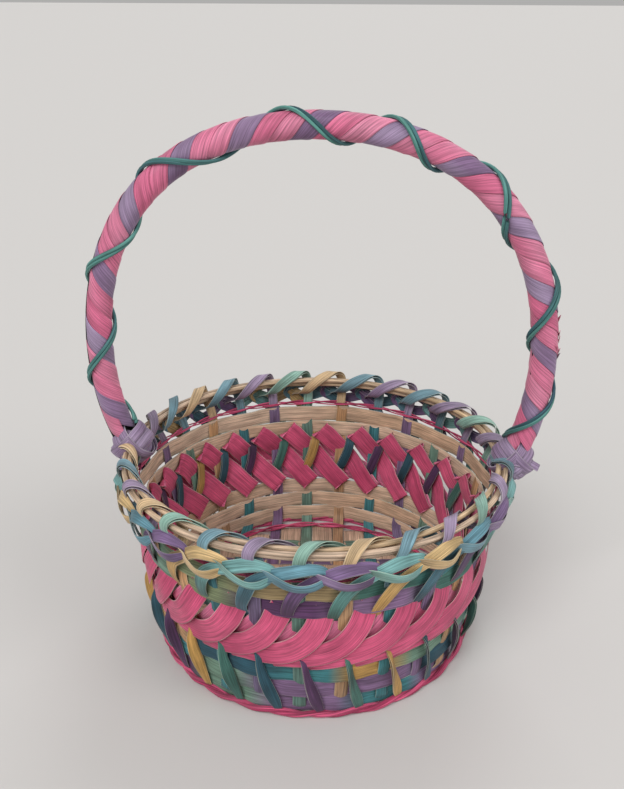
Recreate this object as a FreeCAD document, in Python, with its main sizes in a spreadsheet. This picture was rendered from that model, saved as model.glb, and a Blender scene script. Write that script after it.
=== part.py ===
"""Round woven splint basket with a curled border and a fixed, wrapped hoop handle.

Frame: millimetres, +Z up, origin on the floor at the middle of the foot ring. The handle stands in
the XZ plane. The weave is laid out in its own frame and turned about Z by the sheet's weave_turn.
"""
import FreeCAD, Part
import math
import os

from FreeCAD import Placement, Rotation, Vector

DOC = FreeCAD.newDocument("EasterBasket")
UP = Vector(0, 0, 1)

# ---------------------------------------------------------------- driving dimensions
SIZES = [
    ("foot_radius", 117.5), ("foot_oval", 3.2), ("wall_taper", 0.1),
    ("base_radius", 105.0), ("base_height", 2.4),
    ("stake_count", 28), ("stake_width", 8.6), ("splint_thickness", 0.8), ("stake_top", 121.0),
    ("splint_pitch", 26.7), ("filler_width", 15.0), ("base_shift", -8.0), ("stake_drift", 3.6),
    ("weave_turn", 3.9),
    ("weaver_height", 12.4), ("weave_depth", 0.95), ("lower_row_start", 4.6), ("row_pitch", 12.9),
    ("upper_row_start", 83.6), ("ribbon_width", 16.4), ("ribbon_thickness", 0.6),
    ("twine_radius", 1.3), ("twine_rise", 1.45), ("top_twine_height", 112.5), ("foot_twine_offset", 2.6),
    ("foot_wear", 0.3),
    ("base_twine_radius", 105.5), ("base_twine_height", 5.4),
    ("rod_radius", 2.0), ("rim_radius", 130.6), ("rim_height", 130.4),
    ("strand_width", 8.0), ("strand_thickness", 1.0),
    ("handle_radius", 150.0), ("handle_centre", 207.0), ("handle_square", 2.52), ("core_rod_radius", 3.4),
    ("handle_end_angle", 117.6), ("wrap_pitch", 46.4), ("wrap_thickness", 0.7),
    ("vine_pitch", 75.0), ("vine_radius", 1.15), ("lashing_width", 7.0),
]


def make_sheet():
    """Writes the driving dimensions to the spreadsheet, one aliased cell each."""
    sheet = DOC.addObject("Spreadsheet::Sheet", "Sizes")
    for row, (name, value) in enumerate(SIZES, start=1):
        sheet.set("A%d" % row, name)
        sheet.set("B%d" % row, str(value))
        sheet.setAlias("B%d" % row, name)
    DOC.recompute()
    return sheet


SHEET = make_sheet()


def size(name):
    """A driving dimension, read back from the sheet."""
    return float(SHEET.get(name))


COUNT = int(size("stake_count"))
STEP = 2 * math.pi / COUNT
QUARTER = COUNT / 4
THICK = size("splint_thickness")
TURN = Placement(Vector(), Rotation(UP, size("weave_turn")))
CLEARANCE = 0.05


# ---------------------------------------------------------------- shared geometry
def wall_radius(z, angle):
    """Radius of the middle of the wall, where the stakes stand, at a height and an angle.

    The foot is a little oval, narrower along X, and the wall grows round towards the rim.
    """
    basket_angle = angle + math.radians(size("weave_turn"))
    squeeze = size("foot_oval") * (1 + math.cos(2 * basket_angle)) * (1 - z / size("rim_height"))
    return size("foot_radius") + size("wall_taper") * z - squeeze


def azimuth(place):
    """Angle round the wall of a place counted in uprights from +X.

    The base lattice sits a little off centre, so the uprights drift together on one side.
    """
    angle = place * STEP
    return angle + math.radians(size("stake_drift")) * math.sin(angle)


def polar(angle, radius, z):
    return Vector(radius * math.cos(angle), radius * math.sin(angle), z)


def smooth_square(phase, sharpness=2.6):
    """A square wave with rounded flanks, from -1 to 1, that follows cos(phase)."""
    return math.tanh(sharpness * math.cos(phase)) / math.tanh(sharpness)


def skin(sections, closed=False):
    """A solid with ruled sides through a row of polygons, one polygon per section."""
    wires = [Part.makePolygon(list(section) + [section[0]]) for section in sections]
    return Part.makeLoft(wires, True, True, closed)


def facets(sections):
    """A solid of flat triangles through a row of polygons, for a strip wound many times round."""
    corners = len(sections[0])
    points = [point for section in sections for point in section]
    triangles = []
    for i in range(len(sections) - 1):
        for k in range(corners):
            a, b = i * corners + k, i * corners + (k + 1) % corners
            triangles += [(a, b, b + corners), (a, b + corners, a + corners)]
    last = len(points) - corners
    for k in range(1, corners - 1):
        triangles += [(0, k + 1, k), (last, last + k, last + k + 1)]
    shell = Part.Shape()
    shell.makeShapeFromMesh((points, triangles), 0.001)
    solid = Part.makeSolid(shell)
    if solid.Volume < 0:
        solid.reverse()
    return solid


def tangents(path, closed):
    """Unit direction of travel at each point of a path."""
    last = len(path) - 1
    found = []
    for i in range(len(path)):
        before = path[i - 1] if (i or closed) else path[0]
        after = path[(i + 1) % len(path)] if (i < last or closed) else path[last]
        step = after - before
        found.append(step.multiply(1 / step.Length))
    return found


def strip(path, normals, width, thickness, closed=False, shares=None, sides=None):
    """A flat splint along a path. Each normal is squared up to the path before it is used.

    shares, when given, holds the share of the full width at each point. sides, when given, holds a
    direction across the strip for each point where it runs slantwise over an edge, or None.
    """
    sections = []
    shares = shares or [1.0] * len(path)
    sides = sides or [None] * len(path)
    for point, along, hint, share, slant in zip(path, tangents(path, closed), normals, shares, sides):
        line = slant or along
        normal = hint - line * hint.dot(line)
        normal.normalize()
        side = (slant or along.cross(normal)) * (width * share / 2)
        lift = normal * (thickness / 2)
        sections.append([point - side - lift, point + side - lift, point + side + lift,
                         point - side + lift])
    return skin(sections, closed)


def strand(path, radius, closed=False, sides=6):
    """A round reed or twine along a path, drawn as a polygon of the given number of sides."""
    sections = []
    for point, along in zip(path, tangents(path, closed)):
        flat = Vector(along.y, -along.x, 0)
        if flat.Length < 0.2:
            flat = Vector(0, 1, 0).cross(along)
        flat.normalize()
        rise = flat.cross(along)
        sections.append([point + flat * (radius * math.cos(2 * math.pi * k / sides))
                         + rise * (radius * math.sin(2 * math.pi * k / sides)) for k in range(sides)])
    return skin(sections, closed)


def add(name, shape, placement=TURN):
    """Adds one sub-part to the document under its node name."""
    part = DOC.addObject("Part::Feature", name)
    part.Label = name
    part.Shape = shape
    part.Placement = placement
    return part


# ---------------------------------------------------------------- base and stakes
def base_height(along, first, turned):
    """Height of a base splint at a place along its run, as it passes over and under the others.

    first is where the crossing splints' middle one lies. turned splints are the ones that pass
    under where the others pass over.
    """
    over_and_under = 0.5
    phase = 2 * math.pi * (along - first) / size("splint_pitch")
    return size("base_height") + (-1 if turned else 1) * over_and_under * smooth_square(phase)


def base_run(crossing, number, across, half_width):
    """Points of a base splint, from its positive end to its negative end.

    number counts stakes and fillers together from the middle stake, so odd ones are fillers.
    """
    spacing, corner_share = 3.3, 0.4
    edge = abs(crossing) + half_width
    reach = math.sqrt((size("base_radius") + half_width * corner_share) ** 2 - edge ** 2)
    first = size("base_shift") if across else 0.0
    steps = 2 * int(reach / spacing) + 1
    run = []
    for i in range(steps):
        along = reach - 2 * reach * i / (steps - 1)
        z = base_height(along, first, (number % 2 == 0) == across)
        run.append(Vector(along, crossing, z) if across else Vector(crossing, along, z))
    return run


def stake_leg(angle, start):
    """Points and normals of one upright, from its top down to the turn at the foot.

    start is the place on the base where the splint leaves its straight run.
    """
    path, normals = [], []
    corner_height = 13.0
    top = size("stake_top")
    count, bend_steps = 12, 6
    for i in range(count):
        z = top + (corner_height - top) * i / (count - 1)
        path.append(polar(angle, wall_radius(z, angle), z))
        normals.append(polar(angle, 1.0, -size("wall_taper")))
    foot = path[-1]
    for i in range(1, bend_steps):
        bend = i / bend_steps * math.pi / 2
        out = foot + (start - foot) * (1 - math.cos(bend))
        z = start.z + (corner_height - start.z) * (1 - math.sin(bend))
        path.append(Vector(out.x, out.y, z))
        normals.append(polar(angle, math.cos(bend), -math.sin(bend)))
    return path, normals


def stake(number, crossing, first_place, second_place, across):
    """One long splint: up one wall, through the base weave and up the opposite wall.

    crossing is its offset on the base, first_place and second_place where its ends stand on the
    wall, counted in uprights, and across true when it runs along X.
    """
    run = base_run(crossing, number, across, size("stake_width") / 2)
    first, first_normals = stake_leg(azimuth(first_place), run[0])
    last, last_normals = stake_leg(azimuth(second_place), run[-1])
    path = first + run + last[::-1]
    normals = first_normals + [Vector(0, 0, -1)] * len(run) + last_normals[::-1]
    return strip(path, normals, size("stake_width"), THICK)


def make_stakes():
    """Seven splints along Y and seven along X give the uprights of the wall."""
    pitch = size("splint_pitch")
    for offset in range(-3, 4):
        add("stake_along_%d" % (offset + 4),
            stake(2 * offset, size("base_shift") + offset * pitch,
                  QUARTER - offset, -QUARTER + offset, False))
        add("stake_across_%d" % (offset + 4),
            stake(2 * offset, offset * pitch, offset, 2 * QUARTER - offset, True))


def make_fillers():
    """Wide natural splints that close the base between the stakes, cut off at the foot ring."""
    half = size("splint_pitch") / 2
    for number, odd in enumerate((-5, -3, -1, 1, 3, 5), start=1):
        for name, across, shift in (("along", False, size("base_shift")), ("across", True, 0.0)):
            run = base_run(shift + odd * half, odd, across, size("filler_width") / 2)
            add("base_splint_%s_%d" % (name, number),
                strip(run, [UP] * len(run), size("filler_width"), THICK))


# ---------------------------------------------------------------- wall rows
def weaver(bottom, outside_even):
    """One row of plain weave: a flat splint that passes inside every other upright."""
    z = bottom + size("weaver_height") / 2
    path, normals = [], []
    per_stake = 8
    sign = 1 if outside_even else -1
    for i in range(COUNT * per_stake):
        place = i / per_stake
        angle = azimuth(place)
        lift = sign * size("weave_depth") * smooth_square(math.pi * place)
        path.append(polar(angle, wall_radius(z, angle) + lift, z))
        normals.append(polar(angle, 1.0, -size("wall_taper")))
    return strip(path, normals, size("weaver_height"), THICK, closed=True)


def make_weavers():
    """Three rows below the ribbon and two above it."""
    for row in range(3):
        bottom = size("lower_row_start") + row * size("row_pitch")
        add("lower_weaver_%d" % (row + 1), weaver(bottom, row != 1))
    for row in range(2):
        bottom = size("upper_row_start") + row * size("row_pitch")
        add("upper_weaver_%d" % (row + 1), weaver(bottom, row == 1))


# One turn of the ribbon, point by point: how many uprights round from its own, the height, how far
# out from the wall's middle, and which way its face looks: outward (or inward) and ahead.
RIBBON = [
    (-2.09, 40.6, -2.4, 0.0, -1.0), (-2.00, 42.6, -1.6, 1.0, -0.6), (-1.82, 46.8, -0.4, 1.0, 0.0),
    (-1.60, 49.6, 1.0, 1.0, 0.0), (-1.30, 51.6, 2.0, 1.0, 0.0), (-0.90, 53.0, 2.5, 1.0, 0.0),
    (-0.50, 55.5, 3.4, 1.0, 0.0), (-0.20, 59.5, 4.2, 1.0, 0.0), (0.02, 64.4, 4.7, 1.0, 0.0),
    (0.20, 70.0, 4.4, 1.0, 0.0), (0.36, 76.6, 3.2, 1.0, 0.0), (0.46, 81.5, 1.4, 1.0, 0.0),
    (0.51, 84.6, -0.2, 1.0, 0.2), (0.545, 87.0, -1.6, 0.7, 0.5), (0.555, 87.9, -2.6, 0.0, 0.7),
    (0.545, 87.3, -3.6, -0.7, 0.5), (0.51, 86.0, -4.2, -1.0, 0.2), (0.42, 83.8, -4.4, -1.0, 0.0),
    (0.24, 79.5, -4.2, -1.0, 0.0), (0.10, 75.7, -3.4, -1.0, 0.0),
    (-0.03, 72.2, -2.6, -1.0, 0.0), (-0.16, 68.3, -2.2, -1.0, 0.0), (-0.30, 64.0, -2.4, -1.0, 0.0),
    (-0.45, 59.5, -3.0, -1.0, 0.0), (-0.60, 54.9, -3.8, -1.0, 0.0), (-0.80, 48.9, -4.4, -1.0, 0.0),
    (-0.98, 43.6, -4.2, -1.0, 0.0), (-1.06, 41.4, -3.8, -1.0, -0.5), (-1.09, 40.6, -3.0, 0.0, -1.0),
]


def ribbon_turn(place):
    """One turn of the wide ribbon: up the outside past three uprights, back down the inside past two.

    It starts and ends half way round its bends between the uprights, where the next turn goes on.
    """
    path, normals, sides = [], [], []
    fold_start, fold_end = 11, 17
    fold_ahead, fold_down = 0.78, -0.626
    for number, (places, z, out, outward, ahead) in enumerate(RIBBON):
        angle = azimuth(place + places)
        path.append(polar(angle, wall_radius(z, angle) + out, z))
        normals.append(polar(angle, outward, ahead) + polar(angle + math.pi / 2, ahead, 0))
        slant = polar(angle + math.pi / 2, fold_ahead, fold_down).normalize()
        sides.append(slant if fold_start <= number <= fold_end else None)
    return strip(path, normals, size("ribbon_width"), size("ribbon_thickness"), sides=sides)


def make_ribbon():
    """All turns of the ribbon are one node. The real ribbon runs on from turn to turn."""
    add("twisted_ribbon", Part.makeCompound([ribbon_turn(i) for i in range(COUNT)]))


# ---------------------------------------------------------------- twine
def twine(radius_at, z, part, reach, rise):
    """One of two strands that pass either side of each upright and swap over between them.

    radius_at gives the radius of the pair's middle at an angle.
    """
    path = []
    per_stake = 6
    sign = 1 if part == 0 else -1
    for i in range(COUNT * per_stake):
        place = i / per_stake
        phase = math.pi * place
        angle = azimuth(place)
        path.append(polar(angle, radius_at(angle) + sign * reach * math.cos(phase),
                          z + sign * rise * math.sin(phase)))
    return strand(path, size("twine_radius"), closed=True)


def worn_flat(ring):
    """The part of the lowest turn above the floor: its underside is worn to one level face."""
    reach = 2 * size("foot_radius")
    depth = 10.0
    below = Part.makeBox(2 * reach, 2 * reach, depth, Vector(-reach, -reach, -depth))
    return ring.cut(below)


def make_twine():
    """Pairing under the rim and round the base, and two level turns that the basket stands on."""
    top = size("top_twine_height")
    half_height = size("twine_radius") * math.sin(math.pi / 3)
    rise = size("twine_rise")
    rim_reach, base_reach, foot_reach = 1.9, 0.9, 0.8

    def at_rim(angle):
        return wall_radius(top, angle)

    def at_foot(angle):
        return wall_radius(0, angle) + size("foot_twine_offset")

    def on_base(_):
        return size("base_twine_radius")

    for part in (0, 1):
        letter = "ab"[part]
        add("rim_twine_" + letter, twine(at_rim, top, part, rim_reach, rise))
        add("base_twine_" + letter,
            twine(on_base, size("base_twine_height"), part, base_reach, rise))
    level = half_height - size("foot_wear")
    add("foot_twine_a", worn_flat(twine(at_foot, level, 0, foot_reach, 0.0)))
    add("foot_twine_b", twine(at_foot, level + 2 * half_height + CLEARANCE, 1, foot_reach, 0.0))


# ---------------------------------------------------------------- rim and border
def make_rods():
    """Three round reeds that the border is curled over."""
    out_and_lift = {"inner": (-2.0, 2.2), "outer": (2.2, 1.6), "lower": (0.2, -2.0)}
    for which, (out, lift) in out_and_lift.items():
        name = "rim_rod_" + which
        ring = DOC.addObject("Part::Torus", name)
        ring.Label = name
        ring.setExpression("Radius1", "Sizes.rim_radius + (%g)" % out)
        ring.setExpression("Radius2", "Sizes.rod_radius")
        ring.setExpression("Placement.Base.z", "Sizes.rim_height + (%g)" % lift)


# A border strand, point by point: how many uprights round from its own, how far out from the wall's
# middle at that height, the height, which way its face looks (outward, upward and sideways), and
# the share of its full width, which a strand loses where it is pinched into a tight turn.
BORDER = [
    (0.00, 2.2, 104.0, (1, 0, 0), 1.0), (0.00, 2.2, 112.5, (1, 0, 0), 1.0),
    (0.00, 3.4, 119.5, (1, -0.3, 0), 1.0), (0.02, 5.8, 126.0, (1, -0.1, 0), 1.0),
    (0.05, 6.6, 132.0, (1, 0.3, 0), 1.0), (0.13, 4.4, 136.4, (0.8, 1, 0), 1.0),
    (0.28, 0.2, 138.0, (0, 1, 0), 1.0), (0.50, -4.0, 136.2, (-0.8, 1, 0), 1.0),
    (0.76, -6.0, 131.6, (-1, 0.2, 0), 1.0), (0.98, -5.4, 126.4, (-1, -0.3, 0), 1.0),
    (1.12, -2.0, 122.8, (-0.5, -1, 0), 1.0), (1.24, 3.0, 121.6, (0.2, -1, 0), 1.0),
    (1.40, 7.6, 120.2, (0.6, -0.8, 0), 1.0), (1.62, 9.8, 117.0, (0.6, -0.8, 0), 1.0),
    (1.90, 10.6, 113.6, (0.6, -0.8, 0), 1.0), (2.20, 9.8, 112.8, (0.7, -0.7, 0), 0.9),
    (2.44, 8.0, 115.0, (0.9, -0.4, 0.2), 0.65), (2.58, 6.4, 118.4, (0.9, 0, 0.6), 0.55),
    (2.55, 6.0, 121.8, (0.8, 0.4, 0.5), 0.55), (2.38, 7.0, 124.2, (1, 0.6, 0), 0.7),
    (2.05, 8.4, 125.0, (1, 0.8, 0), 1.0), (1.72, 8.6, 122.2, (1, 0.6, 0), 1.0),
    (1.42, 7.4, 117.2, (1, 0.2, 0), 1.0), (1.16, 6.2, 111.4, (1, 0, 0), 1.0),
    (0.98, 5.4, 105.5, (1, 0, 0), 1.0), (0.86, 4.6, 98.5, (1, 0, 0), 1.0),
    (0.78, 3.2, 91.4, (1, 0, 0), 1.0), (0.74, 0.8, 84.6, (1, 0, 0), 1.0),
    (0.75, -2.2, 78.0, (1, 0, 0), 1.0), (0.82, -3.4, 70.0, (1, 0, 0), 1.0),
    (0.94, -3.4, 61.0, (1, 0, 0), 1.0), (1.04, -1.4, 54.0, (1, 0, 0.1), 1.0),
    (1.10, 2.6, 48.6, (1, 0, 0.4), 0.8), (1.14, 4.8, 42.5, (0.7, 0, 0.8), 0.9),
    (1.20, 5.0, 33.0, (0.7, 0, 0.8), 1.0), (1.29, 4.4, 23.0, (0.9, 0, 0.5), 1.0),
    (1.39, 3.4, 13.0, (1, 0, 0.1), 0.9), (1.46, 2.6, 6.4, (1, 0, 0), 0.7),
]


def border_strand(place):
    """Up beside its upright, over the rods and under them, hooked back, then down to the foot."""
    path, normals, shares, sides = [], [], [], []
    loop_start, loop_end = 3, 10
    for number, (places, out, z, (outward, upward, sideways), share) in enumerate(BORDER):
        angle = azimuth(place + places)
        path.append(polar(angle, wall_radius(z, angle) + out, z))
        normals.append(polar(angle, outward, upward) + polar(angle + math.pi / 2, sideways, 0))
        shares.append(share)
        on_rods = loop_start <= number <= loop_end
        sides.append(polar(angle + math.pi / 2, 1, 0) if on_rods else None)
    return strip(path, normals, size("strand_width"), size("strand_thickness"),
                 shares=shares, sides=sides)


def make_border():
    """The strands are grouped by dye colour, each strand a solid of its own."""
    dyes = ("purple mint purple blue purple blue natural mint purple blue natural blue purple mint "
            "natural blue purple natural mint blue purple mint natural blue purple mint purple blue")
    groups = {}
    for i, colour in enumerate(dyes.split()):
        groups.setdefault(colour, []).append(border_strand(i))
    for colour, strands in groups.items():
        add("border_strands_" + colour, Part.makeCompound(strands))


# ---------------------------------------------------------------- handle
def handle_frame(share):
    """A point of the handle's centreline, its direction and its outward normal, in the XZ plane.

    share runs from 0 at the +X end to 1 at the -X end.
    """
    end = math.radians(size("handle_end_angle"))

    def at(s):
        radius = size("handle_radius") + size("handle_square") * (1 - math.cos(4 * s))
        return Vector(radius * math.sin(s), 0, size("handle_centre") + radius * math.cos(s))

    s = end * (1 - 2 * share)
    along = at(s - 0.002) - at(s + 0.002)
    along.normalize()
    outward = Vector(along.z, 0, -along.x)
    return at(s), along, outward


def handle_length():
    steps = 200
    points = [handle_frame(i / steps)[0] for i in range(steps + 1)]
    return sum((b - a).Length for a, b in zip(points, points[1:]))


def on_handle(share, radius, turn):
    """A point on the tube of the given radius round the centreline, and its outward normal."""
    centre, along, outward = handle_frame(share)
    sideways = Vector(0, 1, 0)
    normal = outward * math.cos(turn) + sideways * math.sin(turn)
    return centre + normal * radius, normal


def make_core():
    """Three round canes, side by side, give the handle its spring and its thickness."""
    spread = size("core_rod_radius") * 2 / math.sqrt(3) + CLEARANCE
    steps = 24
    for number in range(3):
        turn = math.pi / 2 + number * 2 * math.pi / 3
        points = [on_handle(i / steps, spread, turn)[0] for i in range(steps + 1)]
        spine = DOC.addObject("Part::Feature", "spine_%d" % (number + 1))
        curve = Part.BSplineCurve()
        curve.interpolate(points)
        spine.Shape = curve.toShape()
        ring = DOC.addObject("Part::Circle", "section_%d" % (number + 1))
        ring.setExpression("Radius", "Sizes.core_rod_radius")
        along = curve.tangent(curve.FirstParameter)[0]
        ring.Placement = Placement(points[0], Rotation(UP, along))
        cane = DOC.addObject("Part::Sweep", "handle_cane_%d" % (number + 1))
        cane.Label = "handle_cane_%d" % (number + 1)
        cane.Sections = [ring]
        cane.Spine = (spine, ["Edge1"])
        cane.Solid = True


def bundle_radius():
    """Radius of the circle round the three canes."""
    return size("core_rod_radius") * (1 + 2 / math.sqrt(3))


def wrap(first_turn, share_of_pitch, radius):
    """One splint wound round the canes from end to end, lying flat on them across its width."""
    turns = handle_length() / size("wrap_pitch")
    per_turn = 12
    half = share_of_pitch / (2 * turns)
    thick = size("wrap_thickness")
    steps = int((1 - 2 * half) * turns * per_turn)
    sections = []
    for i in range(steps + 1):
        share = half + (1 - 2 * half) * i / steps
        turn = first_turn - 2 * math.pi * turns * share
        sections.append([on_handle(share + step * half, radius + lift, turn)[0]
                         for step, lift in ((-1, 0), (1, 0), (1, thick), (-1, thick))])
    return facets(sections)


def make_wraps():
    """Two pink splints and a purple one, wound side by side."""
    radius = bundle_radius() + 3 * CLEARANCE
    share = 0.32
    purple_start = 3.3
    names = ("handle_wrap_purple", "handle_wrap_pink_1", "handle_wrap_pink_2")
    for number, name in enumerate(names):
        start = purple_start + 2 * math.pi * number / len(names)
        add(name, wrap(start, share, radius), Placement())


def make_vines():
    """Two thin reeds, side by side, wound the other way over the wraps."""
    slack = 0.4
    radius = bundle_radius() + size("wrap_thickness") + size("vine_radius") + slack
    turns = handle_length() / size("vine_pitch")
    per_turn = 16
    steps = int(turns * per_turn)
    start, end_gap = -9.9, 0.015
    apart = (2 * size("vine_radius") + 3 * CLEARANCE) / handle_length()
    for number in (0, 1):
        path = []
        for i in range(steps + 1):
            share = end_gap + (1 - 2 * end_gap - apart) * i / steps
            turn = start + 2 * math.pi * turns * share
            path.append(on_handle(share + number * apart, radius, turn)[0])
        add("handle_vine_%d" % (number + 1), strand(path, size("vine_radius")), Placement())


def lashing(side):
    """The splints that cross over the handle's end and tie it to the rods, on one side.

    Each is a loop round a line that leans half way between the handle and the rods.
    """
    past_rods, above_rods = 1.0, 2.5
    centre = Vector(side * (size("rim_radius") + past_rods), 0, size("rim_height") + above_rods)
    loop_depth, loop_height = 12.0, 13.0
    overlap, growth = 0.86, 0.08
    steps = 30
    bands = []
    for number in range(6):
        lean = -1 if number % 2 else 1
        axis = Vector(0, lean, 1).normalize()
        across = Vector(0, 1, -lean).normalize()
        shift = (number // 2 - 1) * size("lashing_width") * overlap
        grow = 1 + growth * number
        depth, height = loop_depth * grow, loop_height * grow
        path, normals = [], []
        for i in range(steps):
            turn = 2 * math.pi * i / steps
            path.append(centre + axis * shift + Vector(side * depth * math.cos(turn), 0, 0)
                        + across * (height * math.sin(turn)))
            normals.append(Vector(side * math.cos(turn) / depth, 0, 0)
                           + across * (math.sin(turn) / height))
        bands.append(strip(path, normals, size("lashing_width"), THICK, closed=True))
    return Part.makeCompound(bands)


def make_lashings():
    add("handle_lashing_right", lashing(1), Placement())
    add("handle_lashing_left", lashing(-1), Placement())


# ---------------------------------------------------------------- output
def check_and_write():
    """Stops on a failed object or a bad shape, then writes one STEP file per sub-part."""
    DOC.recompute()
    helpers = ("Sizes", "spine_", "section_")
    os.makedirs("parts", exist_ok=True)
    for item in DOC.Objects:
        if "Invalid" in item.State or "Error" in item.State:
            raise SystemExit("failed object: " + item.Name)
        if item.Name.startswith(helpers):
            continue
        shape = item.Shape
        if shape.isNull() or not shape.isValid() or shape.Volume <= 0:
            raise SystemExit("bad shape: " + item.Label)
        shape.exportStep(os.path.join("parts", item.Label + ".step"))
        print("%-24s %2d solids %9.1f mm3" % (item.Label, len(shape.Solids), shape.Volume))


make_stakes()
make_fillers()
make_weavers()
make_ribbon()
make_twine()
make_rods()
make_border()
make_core()
make_wraps()
make_vines()
make_lashings()
check_and_write()
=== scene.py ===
"""Woven splint basket with a curled border and a wrapped hoop handle, built round the CAD frame.

Lengths are worked out in millimetres and turned into metres where a mesh is made. A place on the
wall is counted in uprights: the azimuth, in twenty-eighths of a turn, starting near +X.
"""

import math

import bpy
from mathutils import Matrix, Vector, noise


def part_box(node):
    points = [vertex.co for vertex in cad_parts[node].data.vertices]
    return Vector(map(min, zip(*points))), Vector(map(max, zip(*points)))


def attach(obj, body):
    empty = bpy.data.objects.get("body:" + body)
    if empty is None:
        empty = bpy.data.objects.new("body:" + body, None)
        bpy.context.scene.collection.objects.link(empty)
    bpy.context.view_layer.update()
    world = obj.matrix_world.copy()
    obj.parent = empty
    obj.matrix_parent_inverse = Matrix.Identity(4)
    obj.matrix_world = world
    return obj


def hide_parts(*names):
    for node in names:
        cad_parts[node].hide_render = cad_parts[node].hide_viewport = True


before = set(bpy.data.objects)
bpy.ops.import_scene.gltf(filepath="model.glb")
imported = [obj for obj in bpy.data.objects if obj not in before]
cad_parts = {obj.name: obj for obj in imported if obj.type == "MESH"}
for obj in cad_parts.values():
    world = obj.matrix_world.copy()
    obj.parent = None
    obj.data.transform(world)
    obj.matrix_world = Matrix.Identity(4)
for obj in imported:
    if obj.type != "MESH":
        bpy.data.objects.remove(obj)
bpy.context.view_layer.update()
SCENE = bpy.context.scene
METRE = 0.001


# ---------------------------------------------------------------- camera, light and floor
def make_camera():
    """Stands in front, a little to the right, and looks down at the bowl."""
    camera = bpy.data.objects.new("camera", bpy.data.cameras.new("camera"))
    SCENE.collection.objects.link(camera)
    place = Vector((0.0471, -0.5934, 0.4460))
    turn, down, roll = 0.0829, 0.4254, 0.0024
    lens, sensor_width = 43.33, 36.0
    aim = Matrix.Rotation(turn, 4, "Z") @ Matrix.Rotation(math.pi / 2 - down, 4, "X")
    camera.matrix_world = Matrix.Translation(place) @ aim @ Matrix.Rotation(roll, 4, "Z")
    camera.data.lens = lens
    camera.data.sensor_width = sensor_width
    SCENE.camera = camera


def make_lights():
    """A wide soft key from the upper left, a weak fill and an even pale surround.

    The lights are far away, so that the floor is as bright behind the basket as under it.
    """
    lights = (("key", (-0.5, -1.25, 1.5), 34, 1.72), ("fill", (1.3, -0.6, 1.0), 37, 0.83),
              ("back", (0.2, 1.3, 1.4), 29, 0.69))
    aim = Vector((0, 0, 0.12))
    for name, place, spread, strength in lights:
        data = bpy.data.lights.new(name, "SUN")
        data.angle = math.radians(spread)
        data.energy = strength
        lamp = bpy.data.objects.new(name, data)
        lamp.location = place
        lamp.rotation_euler = (aim - Vector(place)).to_track_quat("-Z", "Y").to_euler()
        SCENE.collection.objects.link(lamp)
    world = bpy.data.worlds.new("studio")
    world.use_nodes = True
    world.node_tree.nodes["Background"].inputs["Color"].default_value = (0.78, 0.77, 0.76, 1)
    world.node_tree.nodes["Background"].inputs["Strength"].default_value = 0.55
    SCENE.world = world
    SCENE.view_settings.view_transform = "Standard"


def make_floor():
    mesh = bpy.data.meshes.new("floor")
    reach = 12.0
    mesh.from_pydata([(-reach, -reach, 0), (reach, -reach, 0), (reach, reach, 0), (-reach, reach, 0)],
                     [], [(0, 1, 2, 3)])
    floor = bpy.data.objects.new("floor", mesh)
    SCENE.collection.objects.link(floor)
    paint = bpy.data.materials.new("floor")
    paint.use_nodes = True
    shader = paint.node_tree.nodes["Principled BSDF"]
    shader.inputs["Base Color"].default_value = (0.60, 0.585, 0.57, 1)
    shader.inputs["Roughness"].default_value = 0.85
    mesh.materials.append(paint)


# ---------------------------------------------------------------- sizes read from the frame
def low_high(node):
    """A node's lowest and highest corners in millimetres."""
    low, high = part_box(node)
    return Vector(low) / METRE, Vector(high) / METRE


def half_width(node):
    low, high = low_high(node)
    return (high.x - low.x) / 2


def half_depth(node):
    low, high = low_high(node)
    return (high.y - low.y) / 2


def middle_height(node):
    low, high = low_high(node)
    return (high.z + low.z) / 2


COUNT = 28
QUARTER = COUNT // 4
STEP = 2 * math.pi / COUNT
DRIFT = math.radians(3.6)
TURN = math.radians(3.9)
SPLINT = 0.8
CAD_WAVE = 0.95 + SPLINT / 2
LOW_ROW = middle_height("lower_weaver_1")
HIGH_ROW = middle_height("upper_weaver_2")
TAPER = (half_depth("upper_weaver_2") - half_depth("lower_weaver_1")) / (HIGH_ROW - LOW_ROW)
FOOT_RADIUS = half_depth("lower_weaver_1") - CAD_WAVE - TAPER * LOW_ROW
FOOT_OVAL = (half_depth("foot_twine_b") - half_width("foot_twine_b")) / 2
ROWS = [("lower_weaver_1", 1), ("lower_weaver_2", -1), ("lower_weaver_3", 1),
        ("upper_weaver_1", -1), ("upper_weaver_2", 1)]
ROW_HEIGHTS = [middle_height(name) for name, _ in ROWS]
ROD = 1.85
RIM_RADIUS = (half_width("rim_rod_inner") + half_width("rim_rod_outer")) / 2 - 2.0
RIM_HEIGHT = middle_height("rim_rod_lower") + 2.0
TWINE_HEIGHT = middle_height("rim_twine_a")
CAD_TUBE = low_high("handle_wrap_pink_1")[1].y
FULLNESS = 0.6
TUBE = CAD_TUBE + FULLNESS
HANDLE_RADIUS = half_width("handle_wrap_pink_1") - CAD_TUBE
HANDLE_CENTRE = low_high("handle_wrap_purple")[1].z - CAD_TUBE - HANDLE_RADIUS
HANDLE_SHIFT = 1.6
RIM_LIFT = 0.2
RIM_TILT = 1.8


def azimuth(place):
    angle = place * STEP
    return angle + DRIFT * math.sin(angle) + TURN


def wall_radius(z, angle=-math.pi / 2):
    """The wall's middle. The foot is a little oval, and the wall grows round towards the rim."""
    squeeze = FOOT_OVAL * (1 + math.cos(2 * angle)) * (1 - z / RIM_HEIGHT)
    return FOOT_RADIUS + TAPER * z - squeeze


def polar(angle, radius, z):
    return Vector((radius * math.cos(angle), radius * math.sin(angle), z))


def wall(place, lift, z):
    """A point on the wall, lift outward of its middle. The rim stands a little higher in front."""
    angle = azimuth(place)
    rise = z / RIM_HEIGHT * (RIM_LIFT - RIM_TILT * math.sin(angle))
    return polar(angle, wall_radius(z, angle) + lift, z + rise)


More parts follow.
